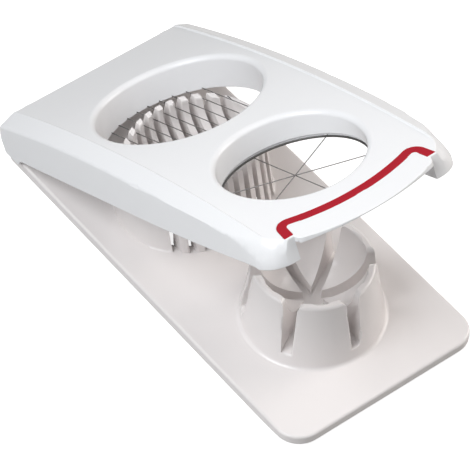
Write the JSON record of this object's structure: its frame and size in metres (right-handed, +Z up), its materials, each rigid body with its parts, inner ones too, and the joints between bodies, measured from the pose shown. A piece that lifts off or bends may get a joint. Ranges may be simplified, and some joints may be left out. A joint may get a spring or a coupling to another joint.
{
  "type": "egg slicer",
  "caption": "Hinged white egg slicer: a base with a slotted wedge cup and a slatted cradle under an arched lid strung with cutting wires, with a red grip inlay.",
  "frame": {"origin": "on the table under the middle of the slicer", "axes": "+X across the slicer to the right, +Y along it towards the hinge, +Z up"},
  "size_m": [0.0986, 0.1987, 0.1048],
  "materials": {
    "base_plastic": "smooth moulded white plastic",
    "lid_plastic": "smooth moulded white plastic",
    "red_inlay": "smooth red plastic",
    "wire_steel": "drawn stainless wire",
    "ring_steel": "dark stainless band",
    "ferrule_steel": "crimped stainless sleeve",
    "pin_steel": "plain steel pin",
    "foot_rubber": "matt pale rubber"
  },
  "bodies": {
    "base_body": {"base": "base_plastic", "foot_front_left": "foot_rubber", "foot_front_right": "foot_rubber", "foot_rear_left": "foot_rubber", "foot_rear_right": "foot_rubber"},
    "lid_body": {"lid": "lid_plastic", "grip_inlay": "red_inlay", "slicing_wire_1": "wire_steel", "slicing_wire_2": "wire_steel", "slicing_wire_3": "wire_steel", "slicing_wire_4": "wire_steel", "slicing_wire_5": "wire_steel", "slicing_wire_6": "wire_steel", "slicing_wire_7": "wire_steel", "slicing_wire_8": "wire_steel", "slicing_wire_9": "wire_steel", "slicing_wire_10": "wire_steel", "slicing_wire_ferrules": "ferrule_steel", "wedge_wire_1": "wire_steel", "wedge_wire_2": "wire_steel", "wedge_wire_3": "wire_steel", "wedge_wire_ring": "ring_steel", "wedge_wire_ferrules": "ferrule_steel", "hinge_pin_left": "pin_steel", "hinge_pin_right": "pin_steel"}
  },
  "joints": [
    {"name": "lid_hinge", "type": "hinge", "parent": "base_body", "child": "lid_body", "pos_m": [0, 0.0942, 0.0198], "axis": [-1, 0, 0], "range_deg": [-26.75, 65]}
  ]
}
